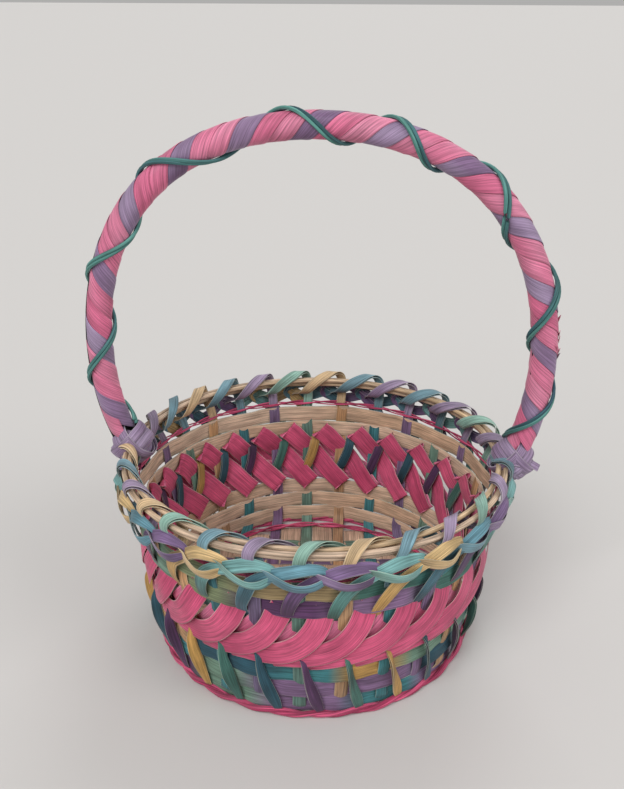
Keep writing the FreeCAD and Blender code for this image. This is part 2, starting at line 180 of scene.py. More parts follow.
def facing(place, out, up=0.0, side=0.0):
    """A direction at a place on the wall, from its outward, upward and sideways shares."""
    angle = azimuth(place)
    return polar(angle, out, up) + polar(angle + math.pi / 2, side, 0)


def smooth_square(phase, sharpness=2.6):
    return math.tanh(sharpness * math.cos(phase)) / math.tanh(sharpness)


def wander(seed, along, reach=1.0):
    """Smooth, repeatable unevenness: about -1 to 1 times reach."""
    return noise.noise(Vector((seed * 7.31 + 0.37, along, seed * 1.7))) * 1.6 * reach


# ---------------------------------------------------------------- colours
PINK = (0.62, 0.095, 0.20)
PINK_PALE = (0.66, 0.18, 0.31)
PINK_DARK = (0.40, 0.04, 0.11)
ROSE = (0.64, 0.15, 0.27)
ROSE_PALE = (0.68, 0.24, 0.36)
PURPLE = (0.21, 0.125, 0.235)
PURPLE_DARK = (0.09, 0.035, 0.10)
PURPLE_PALE = (0.36, 0.275, 0.41)
TEAL = (0.05, 0.20, 0.22)
TEAL_DARK = (0.025, 0.085, 0.12)
BLUE_PALE = (0.18, 0.32, 0.38)
AQUA = (0.20, 0.42, 0.41)
GREEN = (0.16, 0.27, 0.20)
GREEN_DARK = (0.06, 0.17, 0.14)
MINT = (0.27, 0.46, 0.38)
OLIVE = (0.20, 0.24, 0.13)
TAN = (0.55, 0.31, 0.15)
CREAM = (0.66, 0.47, 0.27)
YELLOW = (0.52, 0.30, 0.09)
NATURAL = (0.60, 0.42, 0.30)
NATURAL_PALE = (0.66, 0.49, 0.36)
REED = (0.11, 0.31, 0.27)
# A pale colour mixed into the narrow edges of every flat strip: a painted highlight.
EDGE_HIGHLIGHT = (0.72, 0.74, 0.62)


def mix(a, b, share):
    share = min(max(share, 0.0), 1.0)
    return tuple(x + (y - x) * share for x, y in zip(a, b))


def stops(colours, seed=0.0, softness=0.35):
    """A space-dyed splint's colour along its length, for a share from 0 to 1 that closes."""
    count = len(colours)

    def colour(share):
        spot = (share % 1.0) * count + wander(seed, share * 9, 0.25)
        first = math.floor(spot)
        inner = (spot - first - (1 - softness)) / softness
        return mix(colours[first % count], colours[(first + 1) % count], inner)

    return colour


def plain(colour, seed=0.0, other=None, amount=0.5):
    """One dye that drifts towards a second colour here and there."""
    other = other or tuple(x * 0.7 for x in colour)
    return lambda share: mix(colour, other, amount * (0.5 + wander(seed, share * 6)))


# ---------------------------------------------------------------- materials
def splint_material(name, roughness, grain, bump, sheen):
    """Dyed wood splint: the dye comes from the mesh, the grain runs along each strip."""
    material = bpy.data.materials.new(name)
    material.use_nodes = True
    tree = material.node_tree
    shader = tree.nodes["Principled BSDF"]

    def node(kind, **settings):
        made = tree.nodes.new(kind)
        for key, value in settings.items():
            setattr(made, key, value)
        return made

    def grain_noise(across, along, detail):
        stretch = node("ShaderNodeMapping")
        stretch.inputs["Scale"].default_value = (across, along, 1)
        tree.links.new(strip.outputs["UV"], stretch.inputs["Vector"])
        made = node("ShaderNodeTexNoise")
        made.inputs["Scale"].default_value = 1.0
        made.inputs["Detail"].default_value = detail
        tree.links.new(stretch.outputs["Vector"], made.inputs["Vector"])
        return made

    def ramp(source, low, high, dark, light):
        made = node("ShaderNodeValToRGB")
        made.color_ramp.elements[0].position = low
        made.color_ramp.elements[0].color = (dark, dark, dark, 1)
        made.color_ramp.elements[1].position = high
        made.color_ramp.elements[1].color = (light, light, light, 1)
        tree.links.new(source.outputs["Fac"], made.inputs["Fac"])
        return made

    def multiply(a, b):
        made = node("ShaderNodeMix", data_type="RGBA", blend_type="MULTIPLY")
        made.inputs["Factor"].default_value = 1.0
        tree.links.new(a, made.inputs[6])
        tree.links.new(b, made.inputs[7])
        return made.outputs[2]

    strip = node("ShaderNodeUVMap", uv_map="strip")
    dye = node("ShaderNodeAttribute", attribute_name="dye")
    fine = grain_noise(2.6, 0.05, 5.0)
    broad = grain_noise(0.95, 0.022, 3.0)
    blotch = grain_noise(0.10, 0.05, 3.0)
    shade = multiply(dye.outputs["Color"], ramp(fine, 0.32, 0.60, 1 - grain, 1.15).outputs["Color"])
    shade = multiply(shade, ramp(broad, 0.33, 0.60, 1 - grain, 1.15).outputs["Color"])
    shade = multiply(shade, ramp(blotch, 0.3, 0.7, 0.80, 1.15).outputs["Color"])
    tree.links.new(shade, shader.inputs["Base Color"])
    rough = node("ShaderNodeMapRange")
    rough.inputs["To Min"].default_value = roughness - 0.12
    rough.inputs["To Max"].default_value = roughness + 0.12
    tree.links.new(broad.outputs["Fac"], rough.inputs["Value"])
    tree.links.new(rough.outputs["Result"], shader.inputs["Roughness"])
    relief = node("ShaderNodeBump")
    relief.inputs["Strength"].default_value = bump
    relief.inputs["Distance"].default_value = 0.00035
    tree.links.new(fine.outputs["Fac"], relief.inputs["Height"])
    tree.links.new(relief.outputs["Normal"], shader.inputs["Normal"])
    shader.inputs["Specular IOR Level"].default_value = 0.32
    shader.inputs["Sheen Weight"].default_value = sheen
    shader.inputs["Sheen Roughness"].default_value = 0.45
    return material


MATERIALS = {
    "splint": splint_material("dyed_splint", 0.58, 0.42, 0.55, 0.10),
    "natural": splint_material("natural_splint", 0.66, 0.36, 0.60, 0.06),
    "ribbon": splint_material("ribbon_splint", 0.60, 0.30, 0.50, 0.14),
    "reed": splint_material("round_reed", 0.55, 0.45, 0.45, 0.05),
    "twine": splint_material("twine_fibre", 0.72, 0.50, 0.80, 0.12),
}


# ---------------------------------------------------------------- strip meshes
SECTION = [(-0.92, 1), (-0.4, 1), (0.0, 1), (0.4, 1), (0.92, 1), (1, 0),
           (0.92, -1), (0.4, -1), (0.0, -1), (-0.4, -1), (-0.92, -1), (-1, 0)]


def spline(rows, per):
    """Catmull-Rom through rows of numbers, per steps between each pair."""
    found = []
    last = len(rows) - 1
    for i in range(last):
        a, b, c, d = rows[max(i - 1, 0)], rows[i], rows[i + 1], rows[min(i + 2, last)]
        for step in range(per):
            t = step / per
            found.append(tuple(
                0.5 * (2 * q + (r - p) * t + (2 * p - 5 * q + 4 * r - s) * t * t
                       + (3 * q - p - 3 * r + s) * t ** 3) for p, q, r, s in zip(a, b, c, d)))
    found.append(tuple(rows[last]))
    return found


def directions(path, closed):
    count = len(path)
    found = []
    for i in range(count):
        before = path[i - 1] if (i or closed) else path[0]
        after = path[(i + 1) % count] if (i < count - 1 or closed) else path[-1]
        found.append((after - before).normalized())
    return found


def lengths(path, closed):
    """Distance travelled at each point of a path, and back at its start when it is closed."""
    found = [0.0]
    for before, after in zip(path, path[1:] + ([path[0]] if closed else [])):
        found.append(found[-1] + (after - before).length)
    return found


# The grain of each strip starts at a place of its own, and a strip's back lies beside its front.
GRAIN_START = 53.0
BACK_GRAIN = 40.0
EDGE_WAVE = 0.06
REED_WAVE = 0.05


class Piece:
    """One Blender object made of any number of strips."""

    def __init__(self, name, material, slot, nodes):
        self.name, self.material, self.slot, self.nodes = name, material, slot, nodes
        self.points, self.faces, self.strip, self.dye = [], [], [], []

    def loft(self, rings, across, along, colours, closed=False, start=0.0):
        """Joins rings of points into a tube, with caps when it is open."""
        base, width, count = len(self.points), len(rings[0]), len(rings)
        for ring, colour in zip(rings, colours):
            self.points += [point * METRE for point in ring]
            self.dye += colour
        for i in range(count if closed else count - 1):
            after = (i + 1) % count
            for k in range(width):
                following = (k + 1) % width
                self.faces.append((base + i * width + k, base + i * width + following,
                                   base + after * width + following, base + after * width + k))
                low, high = along[i] + start, along[i + 1] + start
                left, right = across[k], across[following]
                self.strip += [(left, low), (right, low), (right, high), (left, high)]
        if not closed:
            for row, order in ((0, list(reversed(range(width)))), (count - 1, list(range(width)))):
                self.faces.append(tuple(base + row * width + k for k in order))
                self.strip += [(across[k], along[row] + start) for k in order]

    def splint(self, path, normals, width, thickness, colour, inner=None, closed=False, seed=0.0,
               crown=0.06, ragged=0.12):
        """A flat strip. colour and inner give the dye of its two faces along its length; its narrow edges
        get a painted highlight.
        """
        along = lengths(path, closed)
        total = along[-1]
        rings, colours = [], []
        inner = inner or colour
        for i, (point, ahead) in enumerate(zip(path, directions(path, closed))):
            normal = normals[i] - ahead * normals[i].dot(ahead)
            normal.normalize()
            side = ahead.cross(normal)
            wide = width[i] if isinstance(width, list) else width
            share = along[i] / total
            left = wide / 2 + wander(seed + 3.3, along[i] * EDGE_WAVE, ragged)
            right = wide / 2 + wander(seed + 8.8, along[i] * EDGE_WAVE, ragged)
            ring, dyes = [], []
            front, back = colour(share), inner(share)
            for across, face in SECTION:
                reach = (left if across < 0 else right) * across
                bow = crown * wide * (1 - across * across)
                ring.append(point + side * reach + normal * (face * thickness / 2 + bow))
                # The front and back take their dyes; the narrow edges are mixed towards a pale painted
                # highlight.
                tone = front if face > 0 else back if face < 0 else mix(front, EDGE_HIGHLIGHT, 0.55)
                dyes.append((tone[0], tone[1], tone[2], 1.0))
            rings.append(ring)
            colours.append(dyes)
        half = (max(width) if isinstance(width, list) else width) / 2
        across = [s * half + (0 if face >= 0 else BACK_GRAIN) for s, face in SECTION]
        self.loft(rings, across, along, colours, closed, start=seed * GRAIN_START)

    def strand(self, path, radius, colour, closed=False, seed=0.0, sides=8, flat=1.0):
        """A round reed or twine."""
        along = lengths(path, closed)
        rings, colours = [], []
        for i, (point, ahead) in enumerate(zip(path, directions(path, closed))):
            level = Vector((ahead.y, -ahead.x, 0))
            if level.length < 0.2:
                level = Vector((0, 1, 0)).cross(ahead)
            level.normalize()
            rise = level.cross(ahead)
            thick = radius * (1 + wander(seed + 1.1, along[i] * REED_WAVE, 0.08))
            rings.append([point + level * (thick * math.cos(2 * math.pi * k / sides))
                          + rise * (thick * flat * math.sin(2 * math.pi * k / sides))
                          for k in range(sides)])
            tone = colour(along[i] / along[-1])
            colours.append([(tone[0], tone[1], tone[2], 1.0)] * sides)
        across = [2 * math.pi * radius * k / sides for k in range(sides)]
        self.loft(rings, across, along, colours, closed, start=seed * GRAIN_START)

    def finish(self):
        mesh = bpy.data.meshes.new(self.name)
        mesh.from_pydata(self.points, [], self.faces)
        layer = mesh.uv_layers.new(name="strip")
        layer.data.foreach_set("uv", [number for pair in self.strip for number in pair])
        dye = mesh.color_attributes.new("dye", "FLOAT_COLOR", "POINT")
        dye.data.foreach_set("color", [number for tone in self.dye for number in tone])
        mesh.materials.append(MATERIALS[self.material])
        mesh.shade_smooth()
        made = bpy.data.objects.new(self.name, mesh)
        SCENE.collection.objects.link(made)
        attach(made, "root")
        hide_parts(*self.nodes)


# ---------------------------------------------------------------- base and uprights
ALONG_DYES = [TAN, TEAL, PURPLE, GREEN, TAN, TEAL, PURPLE]
ALONG_SLOTS = ["orange", "teal", "purple", "green", "orange", "teal", "purple"]
ACROSS_DYES = [TAN, PURPLE, GREEN, TEAL, TAN, PURPLE, GREEN]
ACROSS_SLOTS = ["orange", "purple", "green", "teal", "orange", "purple", "green"]
PITCH = 26.7
SHIFT = -8.0
BASE_REACH = 105.0
BASE_HEIGHT = middle_height("base_splint_along_1")
UPRIGHT_WIDTH = 8.8
FILLER_WIDTH = 17.2
VISUAL_SPLINT = SPLINT * 0.8
UPRIGHT_TOP = 112.0
CORNER = 12.0


def turned(point):
    """From the weave's own frame, with splints along X and Y, to the basket's."""
    return Matrix.Rotation(TURN, 3, "Z") @ point


def base_run(crossing, number, across, half):
    """A base splint's points, from end to end, as it passes over and under the others."""
    spacing, corner_share, over_and_under = 2.2, 0.4, 0.5
    edge = abs(crossing) + half
    reach = math.sqrt((BASE_REACH + half * corner_share) ** 2 - edge ** 2)
    first = SHIFT if across else 0.0
    side = -over_and_under if (number % 2 == 0) == across else over_and_under
    steps = 2 * int(reach / spacing) + 1
    run = []
    for i in range(steps):
        along = reach - 2 * reach * i / (steps - 1)
        z = BASE_HEIGHT + side * smooth_square(2 * math.pi * (along - first) / PITCH)
        run.append(turned(Vector((along, crossing, z) if across else (crossing, along, z))))
    return run


def upright_lift(place, z):
    """How far out an upright stands at a height, as it passes the rows of the wall."""
    parity = 1 if round(place) % 2 == 0 else -1
    heights = [0.0] + ROW_HEIGHTS[:3] + [50.0, 63.0, 77.0] + ROW_HEIGHTS[3:] + [TWINE_HEIGHT, 140.0]
    lifts = [0.0, -parity, parity, -parity, -0.6, -2.2, -0.6, parity, -parity, 0.0, 0.0]
    for i in range(len(heights) - 1):
        if z <= heights[i + 1]:
            share = (z - heights[i]) / (heights[i + 1] - heights[i])
            share = share * share * (3 - 2 * share)
            return 0.6 * (lifts[i] + (lifts[i + 1] - lifts[i]) * share)
    return 0.0


def upright_leg(place, start, seed):
    """One upright, from its top down to the turn at the foot, and its normals."""
    path, normals = [], []
    steps, bend_steps = 46, 8
    for i in range(steps):
        z = UPRIGHT_TOP + (CORNER - UPRIGHT_TOP) * i / (steps - 1)
        spot = place + wander(seed, z * 0.03, 0.04)
        path.append(wall(spot, upright_lift(place, z), z))
        normals.append(facing(spot, 1.0, 0, wander(seed + 5, z * 0.02, 0.12)))
    foot = path[-1]
    for i in range(1, bend_steps):
        bend = i / bend_steps * math.pi / 2
        out = foot + (start - foot) * (1 - math.cos(bend))
        path.append(Vector((out.x, out.y, start.z + (foot.z - start.z) * (1 - math.sin(bend)))))
        normals.append(facing(place, math.cos(bend), -math.sin(bend)))
    return path, normals


def make_upright(name, number, crossing, places, across, dye, slot, seed):
    run = base_run(crossing, number, across, UPRIGHT_WIDTH / 2)
    first, first_normals = upright_leg(places[0], run[0], seed)
    last, last_normals = upright_leg(places[1], run[-1], seed + 0.5)
    piece = Piece(name, "splint", slot, [name.replace("upright", "stake")])
    colour = plain(dye, seed, mix(dye, TEAL_DARK, 0.35), 0.8)
    piece.splint(first + run + last[::-1], first_normals + [Vector((0, 0, -1))] * len(run)
                 + last_normals[::-1], UPRIGHT_WIDTH, VISUAL_SPLINT, colour, seed=seed)
    piece.finish()


def make_base_and_uprights():
    for offset in range(-3, 4):
        index = offset + 3
        make_upright("upright_along_%d" % (index + 1), 2 * offset, SHIFT + offset * PITCH,
                     (QUARTER - offset, -QUARTER + offset), False, ALONG_DYES[index],
                     ALONG_SLOTS[index] + "_splint", 1.3 + index)
        make_upright("upright_across_%d" % (index + 1), 2 * offset, offset * PITCH,
                     (offset, 2 * QUARTER - offset), True, ACROSS_DYES[index],
                     ACROSS_SLOTS[index] + "_splint", 11.7 + index)
    for number, odd in enumerate((-5, -3, -1, 1, 3, 5), start=1):
        for direction, across, shift in (("along", False, SHIFT), ("across", True, 0.0)):
            node = "base_splint_%s_%d" % (direction, number)
            run = base_run(shift + odd * PITCH / 2, odd, across, FILLER_WIDTH / 2)
            piece = Piece("floor_" + node[5:], "natural", "natural_splint", [node])
            piece.splint(run, [Vector((0, 0, 1))] * len(run), FILLER_WIDTH, VISUAL_SPLINT,
                         plain(NATURAL, number + across * 9.0), seed=21.0 + number + across * 7,
                         crown=0.0)
            piece.finish()


# ---------------------------------------------------------------- wall rows
ROW_DYES = [
    [PURPLE, GREEN_DARK, PURPLE, TEAL, OLIVE, PURPLE, GREEN, TEAL_DARK, PURPLE_DARK, GREEN, PURPLE,
     TEAL, PURPLE, GREEN],
    [TEAL, PURPLE, GREEN, TEAL_DARK, PURPLE, CREAM, GREEN, PURPLE, TEAL, GREEN, PURPLE, PURPLE,
     TEAL_DARK, GREEN],
    [TEAL_DARK, GREEN, YELLOW, PURPLE, TEAL, GREEN, YELLOW, TEAL_DARK, TAN, TEAL_DARK, TEAL, YELLOW,
     GREEN, TEAL_DARK],
    [GREEN, TEAL, PURPLE_DARK, OLIVE, TEAL, GREEN_DARK, PURPLE, OLIVE, GREEN, OLIVE, PURPLE_DARK,
     PURPLE, GREEN_DARK, TEAL],
    [OLIVE, GREEN, PURPLE, TEAL, GREEN_DARK, TEAL, PURPLE, OLIVE, GREEN, OLIVE, mix(TAN, OLIVE, 0.5),
     GREEN_DARK, TEAL, PURPLE],
]
ROW_WIDTH = 13.7
ROW_SLOTS = ["purple", "green", "teal", "green", "orange"]


def make_rows():
    per = 14
    for index, (node, sign) in enumerate(ROWS):
        path, normals = [], []
        for i in range(COUNT * per):
            place = i / per
            z = ROW_HEIGHTS[index] + wander(index + 2.0, place * 0.5, 0.5)
            lift = sign * 0.65 * smooth_square(math.pi * place)
            path.append(wall(place, lift, z))
            normals.append(facing(place, 1.0, 0))
        piece = Piece("row_" + node, "natural", ROW_SLOTS[index] + "_splint", [node])
        piece.splint(path, normals, ROW_WIDTH, VISUAL_SPLINT, stops(ROW_DYES[index], index + 1.5),
                     inner=plain(NATURAL_PALE, index + 0.4, TAN, 0.35), closed=True,
                     seed=31.0 + index, crown=0.0, ragged=0.35)
        piece.finish()


# The ribbon's outer run and inner run: place from the run's own upright, height, lift.
RIBBON_OUT = [(-2.09, 40.6, -2.9), (-2.00, 42.6, -2.2), (-1.82, 46.8, -1.0), (-1.60, 49.6, 0.6),
              (-1.30, 51.6, 1.7), (-0.90, 53.0, 2.2), (-0.50, 55.5, 3.2), (-0.20, 59.5, 4.2),
              (0.02, 64.4, 4.7), (0.20, 70.0, 4.4), (0.36, 76.6, 3.0), (0.46, 82.5, 0.6),
              (0.52, 86.2, -2.0), (0.555, 88.4, -2.9), (0.57, 89.4, -3.4)]
RIBBON_BACK = [(0.54, 88.6, -4.0), (0.42, 86.0, -3.9), (0.24, 80.5, -3.4), (0.10, 76.2, -2.0),
               (-0.03, 72.2, -0.3), (-0.16, 68.3, 0.5), (-0.30, 64.0, 0.5), (-0.45, 59.5, -0.8),
               (-0.60, 54.9, -3.0), (-0.80, 48.9, -3.9), (-0.98, 43.6, -3.9), (-1.06, 41.4, -3.6)]
RIBBON_WIDTH = 16.8
RIBBON_THICKNESS = 0.5


def make_ribbon():
    """Each turn rises outside past three uprights, folds, and comes down inside past two."""
    piece = Piece("ribbon_band", "ribbon", "pink_splint", ["twisted_ribbon"])
    for turn in range(COUNT):
        seed = 41.0 + turn
        rows = [(p, z, lift, 1.0, 0.0) for p, z, lift in RIBBON_OUT]
        rows[0] = rows[0][:3] + (0.0, -1.0)
        rows[-1] = rows[-1][:3] + (0.0, 1.0)
        rows += [(p, z, lift, -1.0, 0.0) for p, z, lift in RIBBON_BACK]
        rows.append((-1.09, 40.6, -2.9, 0.0, -1.0))
        path, normals = [], []
        for p, z, lift, out, ahead in spline(rows, 5):
            shift = wander(seed, z * 0.02, 0.07)
            place = turn + p + shift
            lean = ahead * 0.7
            path.append(wall(place, lift, z + wander(seed + 4, p, 0.8)))
            normals.append(facing(place, out, lean, lean))
        piece.splint(path, normals, RIBBON_WIDTH, RIBBON_THICKNESS, plain(PINK, seed, PINK_DARK, 0.5),
                     inner=plain(PINK_PALE, seed + 2, PINK, 0.6), seed=seed, crown=0.0, ragged=0.5)
    piece.finish()


# ---------------------------------------------------------------- twine and rods
def make_twine():
    """Thin pink strands that pass either side of each upright and cross between them.

    Each pair has its height, radius, sideways reach, rise and thickness.
    """
    per = 10
    top = (TWINE_HEIGHT, wall_radius(TWINE_HEIGHT), 1.6, 0.9, 0.85)
    base = (middle_height("base_twine_a"), half_width("base_twine_a") - 1.9, 1.0, 1.1, 1.0)
    foot = (3.0, half_depth("foot_twine_b") - 2.0, 1.3, 1.5, 1.95)
    for name, (z, radius, reach, rise, thick) in (("rim", top), ("base", base), ("foot", foot)):
        for part, letter in enumerate("ab"):
            node = "%s_twine_%s" % (name, letter)
            piece = Piece("strand_" + node, "twine", "pink_twine", [node])
            for thread in (0, 1):
                seed = 70.0 + part * 3 + thread * 1.4 + len(name)
                path = []
                for i in range(COUNT * per):
                    place = i / per
                    phase = math.pi * place + part * math.pi + thread * 0.5
                    high = z + rise * math.sin(phase) + (thread - 0.5) * 1.1
                    out = reach * math.cos(phase) + wander(seed, place * 0.7, 0.4)
                    point = wall(place, 0, max(high, thick * 0.9) + wander(seed, place, 0.12))
                    angle = azimuth(place)
                    oval = wall_radius(z, angle) - wall_radius(z) if name != "base" else 0
                    path.append(polar(angle, radius + out + oval, max(point.z, thick * 0.8)))
                piece.strand(path, thick * 0.62, plain(PINK, seed, PINK_DARK, 1.1), True, seed)
            piece.finish()


def make_rods():
    """Three round reeds along the rim, a little uneven."""
    per = 6
    places = {"inner": (-2.6, 2.4), "outer": (2.6, 1.2), "lower": (0.2, -2.0)}
    for key, (out, rise) in places.items():
        node = "rim_rod_" + key
        seed = 80.0 + len(key) + out
        path = []
        for i in range(COUNT * per):
            place = i / per
            point = wall(place, 0, RIM_HEIGHT + rise + wander(seed, place * 0.3, 0.7))
            path.append(polar(azimuth(place), RIM_RADIUS + out + wander(seed + 2, place * 0.3, 0.6),
                              point.z))
        piece = Piece("reed_" + node, "reed", "natural_reed", [node])
        piece.strand(path, ROD, plain(NATURAL_PALE, seed, CREAM, 0.6), True, seed, 10, 0.94)
        piece.finish()


# ---------------------------------------------------------------- border
# One strand, point by point: place from its upright, lift, height, its face's outward, upward and
# sideways shares, and the share of its full width.
BORDER = [
    (0.00, 0.4, 102.0, 1, 0, 0, 1.0), (0.00, 0.4, 112.5, 1, 0, 0, 1.0),
    (0.00, 2.6, 119.5, 1, -0.3, 0, 1.0), (0.02, 5.6, 126.0, 1, -0.1, 0, 1.0),
    (0.05, 6.6, 132.0, 1, 0.3, 0, 1.0), (0.13, 4.4, 136.4, 0.8, 1, 0, 1.0),
    (0.28, 0.2, 137.8, 0, 1, 0, 1.0), (0.50, -4.0, 136.0, -0.8, 1, 0, 1.0),
    (0.76, -6.0, 131.6, -1, 0.2, 0, 1.0), (0.98, -5.4, 126.4, -1, -0.3, 0, 1.0),
    (1.12, -2.0, 122.8, -0.5, -1, 0, 1.0), (1.24, 3.0, 121.6, 0.2, -1, 0, 1.0),
    (1.40, 7.6, 120.2, 0.9, -0.55, 0, 1.0), (1.62, 9.8, 117.0, 0.95, -0.4, 0, 1.0),
    (1.90, 10.6, 113.6, 0.95, -0.4, 0, 1.0), (2.20, 9.8, 112.8, 0.95, -0.3, 0, 0.95),
    (2.44, 8.0, 115.0, 0.95, -0.2, 0.2, 0.7), (2.58, 6.4, 118.4, 0.9, 0, 0.6, 0.5),
    (2.55, 6.0, 121.8, 0.8, 0.4, 0.5, 0.5), (2.38, 7.0, 124.2, 1, 0.6, 0, 0.75),
    (2.05, 8.4, 125.0, 1, 0.8, 0, 1.0), (1.72, 8.6, 122.2, 1, 0.6, 0, 1.0),
    (1.42, 7.4, 117.2, 1, 0.2, 0, 1.05), (1.16, 6.2, 111.4, 1, 0, 0, 1.15),
    (0.98, 5.4, 105.5, 1, 0, 0, 1.2), (0.86, 4.6, 98.5, 1, 0, 0, 1.2),
    (0.78, 3.2, 91.4, 1, 0, 0, 1.1), (0.74, 0.8, 84.6, 1, 0, 0, 1.0),
    (0.75, -2.2, 78.0, 1, 0, 0, 1.0), (0.82, -3.4, 70.0, 1, 0, 0, 1.0),
    (0.94, -3.4, 61.0, 1, 0, 0, 1.0), (1.04, -1.4, 54.0, 1, 0, 0.1, 0.9),
    (1.10, 2.6, 48.6, 1, 0, 0.5, 0.6), (1.14, 4.8, 42.5, 0.6, 0, 0.9, 0.8),
    (1.20, 5.2, 33.0, 0.6, 0, 0.9, 1.0), (1.29, 4.6, 23.0, 0.8, 0, 0.6, 1.05),
    (1.39, 3.4, 13.0, 1, 0, 0.2, 0.95), (1.46, 2.4, 6.0, 1, 0, 0, 0.7),
]
BORDER_WIDTH = 7.8
BORDER_THICKNESS = 0.5
STRANDS = ("purple mint purple blue purple blue natural mint purple blue natural blue purple mint "
           "natural blue purple natural mint blue purple mint natural blue purple mint purple blue")
STRAND_DYES = {
    "blue": (BLUE_PALE, (0.13, 0.29, 0.36), TEAL_DARK),
    "purple": (PURPLE_PALE, (0.21, 0.13, 0.27), PURPLE_DARK),
    "mint": (MINT, AQUA, GREEN_DARK),
    "natural": (CREAM, (0.66, 0.46, 0.22), YELLOW),
}


def make_border():
    """Each strand rises outside the rods, rolls over and under them, hooks back and runs down."""
    groups = {}
    rows = spline(BORDER, 4)
    for place, key in enumerate(STRANDS.split()):
        rim, outside, below = STRAND_DYES[key]
        if key not in groups:
            groups[key] = Piece("border_" + key, "splint", key + "_splint", ["border_strands_" + key])
        piece = groups[key]
        seed = 90.0 + place

        def colour(share, rim=rim, outside=outside, below=below, seed=seed):
            spot = share + wander(seed, share * 5, 0.06)
            tone = mix(rim, outside, (spot - 0.24) * 6)
            tone = mix(tone, below, (spot - 0.56) * 6)
            return mix(tone, tuple(part * 0.55 for part in tone), wander(seed + 4, share * 14))

        # The strand's inner face is its front colour darkened to 0.8: painted shade.
        def inner(share, colour=colour):
            return tuple(part * 0.8 for part in colour(share))

        sag = wander(seed + 9, 0.5, 2.2) + 2.6 * max(0.0, -math.cos(azimuth(place + 2.0)))
        for layer in (0, 1):
            path, normals, widths = [], [], []
            for d, lift, z, out, up, side, share in rows:
                shift = wander(seed, z * 0.02 + d, 0.07)
                swell = wander(seed + 6, d * 1.5, 0.9)
                hang = sag * max(0.0, 1 - ((d - 1.9) / 0.5) ** 2) if 108 < z < 119 else 0.0
                normal = facing(place + d, out, up, side).normalized()
                point = wall(place + d + shift, lift + swell * 0.6, z + swell - hang)
                path.append(point + normal * (0.42 - 0.84 * layer) + Vector((0, 0, 0.5 - layer)))
                normals.append(normal)
                widths.append((BORDER_WIDTH - layer) * share)
            piece.splint(path, normals, widths, BORDER_THICKNESS, colour, inner, seed=seed + layer * 0.37,
                         crown=0.02, ragged=0.3)
    for piece in groups.values():
        piece.finish()


# ---------------------------------------------------------------- handle
HANDLE_END = math.radians(117.6)
HANDLE_SQUARE = 2.52


def handle_point(s):
    """A point of the centreline: an arc with slightly squared shoulders."""
    radius = HANDLE_RADIUS + HANDLE_SQUARE * (1 - math.cos(4 * s))
    return Vector((HANDLE_SHIFT + radius * math.sin(s), 0, HANDLE_CENTRE + radius * math.cos(s)))


def handle_frame(share):
    """Centre, direction of travel and outward normal, from the +X end to the -X end."""
    nudge = 0.002
    s = HANDLE_END * (1 - 2 * share)
    ahead = (handle_point(s - nudge) - handle_point(s + nudge)).normalized()
    return handle_point(s), ahead, Vector((ahead.z, 0, -ahead.x))


def handle_length():
    steps = 100
    points = [handle_frame(i / steps)[0] for i in range(steps + 1)]
    return sum((after - before).length for before, after in zip(points, points[1:]))


HANDLE_LENGTH = handle_length()


def on_handle(share, radius, turn):
    """A point on the tube of the given radius round the centreline."""
    centre, _, outward = handle_frame(share)
    return centre + (outward * math.cos(turn) + Vector((0, 1, 0)) * math.sin(turn)) * radius


def wrap_drift(share):
    """How far the splints are ahead of an even winding, in radians: tight here, slack there."""
    swing, slack = 0.35, 0.35
    return swing * math.cos(4 * math.pi * share) + wander(6.0, share * 7, slack)


def vine_drift(share):
    """How far the reeds are ahead of an even winding: they run ahead over the crown."""
    crown, spread, lead, lag = 0.51, 0.11, 1.8, 0.55
    return lead * math.exp(-((share - crown) / spread) ** 2) - lag


WRAP_PITCH = 46.4
WRAP_START = 3.3
VINE_PITCH = 75.0
VINE_START = -9.9
FRAY_START = 0.118
FRAY_STEP = 0.014
FRAY_SHIFT = 0.006


def make_wraps():
    """Two pink splints and a purple one wound side by side, each lapping over the last."""
    turns = HANDLE_LENGTH / WRAP_PITCH
    per = 28
    coverage, overlap, sink, half_thickness = 0.42, 0.3, 0.5, 0.18
    half_strip = 8.5
    bands = [("handle_wrap_purple", "purple", PURPLE, PURPLE_PALE),
             ("handle_wrap_pink_1", "pink", ROSE_PALE, ROSE),
             ("handle_wrap_pink_2", "pink", ROSE, ROSE_PALE)]
    for number, (node, slot, dye, other) in enumerate(bands):
        piece = Piece("wound_" + node, "ribbon", slot + "_splint", [node])
        half = coverage / (2 * turns)
        steps = int((1 - 2 * half) * turns * per)
        seed = 130.0 + number * 4
        rings, colours, along = [], [], []
        tone = plain(dye, seed, other, 0.8)
        for i in range(steps + 1):
            share = half + (1 - 2 * half) * i / steps
            turn = WRAP_START + 2 * math.pi * (number / 3 - turns * share) + wrap_drift(share)
            ring = []
            fringe = wander(seed + 2, share * 40, 0.10)
            for across, face in SECTION:
                lap = overlap * (1 - across) + wander(seed + across, share * 60, 0.12)
                radius = TUBE - sink + lap + face * half_thickness
                ring.append(on_handle(share + across * half * (1 + fringe), radius, turn))
            rings.append(ring)
            dyes = tone(share * 6 % 1)
            colours.append([(dyes[0], dyes[1], dyes[2], 1.0)] * len(SECTION))
            along.append(i * 2 * math.pi * TUBE / per)
        strip = [s * half_strip + (0 if face >= 0 else BACK_GRAIN) for s, face in SECTION]
        piece.loft(rings, strip, along, colours)
        for end in range(number + 1):
            place = FRAY_START + FRAY_STEP * end + FRAY_SHIFT * number
            add_fray(piece, place, seed + end, dye)
        piece.finish()


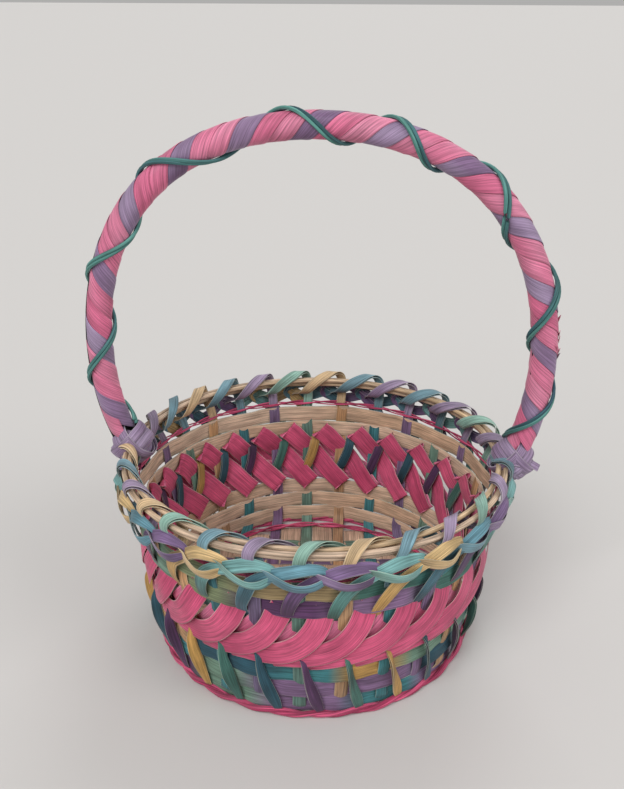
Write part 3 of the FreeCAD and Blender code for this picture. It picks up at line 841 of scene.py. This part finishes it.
def add_fray(piece, share, seed, dye):
    """A split end of a splint that stands a little off the handle."""
    path, normals = [], []
    start = 0.1 + wander(seed, 1.5, 0.5)
    widths = [2.6, 2.4, 2.2, 2.0, 1.6, 1.1, 0.5]
    thickness = 0.3
    for i in range(len(widths)):
        turn = start - 0.10 * i
        path.append(on_handle(share + 0.0016 * i, TUBE + 0.3 + 0.04 * i * i, turn))
        normals.append(on_handle(share, 1.0, turn) - on_handle(share, 0.0, turn))
    piece.splint(path, normals, widths, thickness, plain(dye, seed), seed=seed, ragged=0.2)


def make_vines():
    """Two thin dyed reeds, side by side, wound the other way over the splints."""
    turns = HANDLE_LENGTH / VINE_PITCH
    radius, clearance = 1.25, 0.3
    first, run = 0.015, 0.965
    per = 30
    steps = int(turns * per)
    for number in (0, 1):
        node = "handle_vine_%d" % (number + 1)
        path = []
        for i in range(steps + 1):
            share = first + run * i / steps
            gap = number * (2 * radius + clearance + 1.2 * abs(wander(9.0, share * 7))) / HANDLE_LENGTH
            loose = clearance + abs(wander(5.0 + number, share * 12, 0.9))
            turn = VINE_START + 2 * math.pi * turns * share + vine_drift(share)
            path.append(on_handle(share + gap, TUBE + radius + loose, turn))
        piece = Piece("reed_" + node, "reed", "green_reed", [node])
        piece.strand(path, radius, plain(REED, 3.0 + number, TEAL_DARK, 0.7), seed=140.0 + number)
        piece.finish()


def make_lashings():
    """Splints that cross over each end of the handle and tie it to the rods.

    Four loops cross round the rods, and eight more cross round the handle's end.
    """
    loops, steps = 12, 44
    above_rods, loop_depth, loop_height = 2.5, 11.8, 12.6
    spread, layer_step, thickness = 6.8, 1.6, 0.5
    loop_width, stub_width = 7.4, 6.5
    for name, side in (("right", 1), ("left", -1)):
        node = "handle_lashing_" + name
        piece = Piece("tied_" + node, "splint", "purple_splint", [node])
        out = 5.0 if side > 0 else 1.5
        centre = Vector((side * (RIM_RADIUS + out) + HANDLE_SHIFT, 0, RIM_HEIGHT + above_rods))
        for band in range(loops):
            lean = -1 if band % 2 else 1
            seed = 150.0 + band + side * 20
            if band < 4:
                axis, first = Vector((0, lean, 1)).normalized(), Vector((1, 0, 0))
            else:
                axis, first = Vector((lean, 0, 1)).normalized(), Vector((0, 1, 0))
            across = first.cross(axis)
            grow = 0.96 + 0.022 * band + wander(seed, 0.5, 0.02)
            depth, height = loop_depth * grow, loop_height * grow
            path, normals = [], []
            for i in range(steps):
                turn = 2 * math.pi * i / steps
                shift = ((band % 4 // 2 - 0.5) * spread + (band // 4 - 1) * layer_step
                         + wander(seed + 3, turn, 0.6))
                path.append(centre + axis * shift + first * (depth * math.cos(turn))
                            + across * (height * math.sin(turn)))
                normals.append(first * (math.cos(turn) / depth) + across * (math.sin(turn) / height))
            piece.splint(path, normals, loop_width, thickness, plain(PURPLE_PALE, seed, PURPLE, 0.5),
                         closed=True, seed=seed, ragged=0.3)
        reach = 2.2 if side > 0 else 0.9
        stub = [centre + Vector((side * (9.0 + reach * i), -6.0 - 0.5 * i, 2.0 - 1.1 * i))
                for i in range(5)]
        piece.splint(stub, [Vector((0, -0.5, 1))] * len(stub), stub_width, thickness,
                     plain(PURPLE_PALE, side + 7.0, PURPLE), seed=170.0 + side)
        piece.finish()


make_camera()
make_lights()
make_floor()
make_base_and_uprights()
make_rows()
make_ribbon()
make_twine()
make_rods()
make_border()
make_wraps()
make_vines()
make_lashings()

CANES = [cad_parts["handle_cane_%d" % (i + 1)] for i in range(3)]
for cane in CANES:
    cane.data.materials.clear()
    cane.data.materials.append(bpy.data.materials["round_reed"])
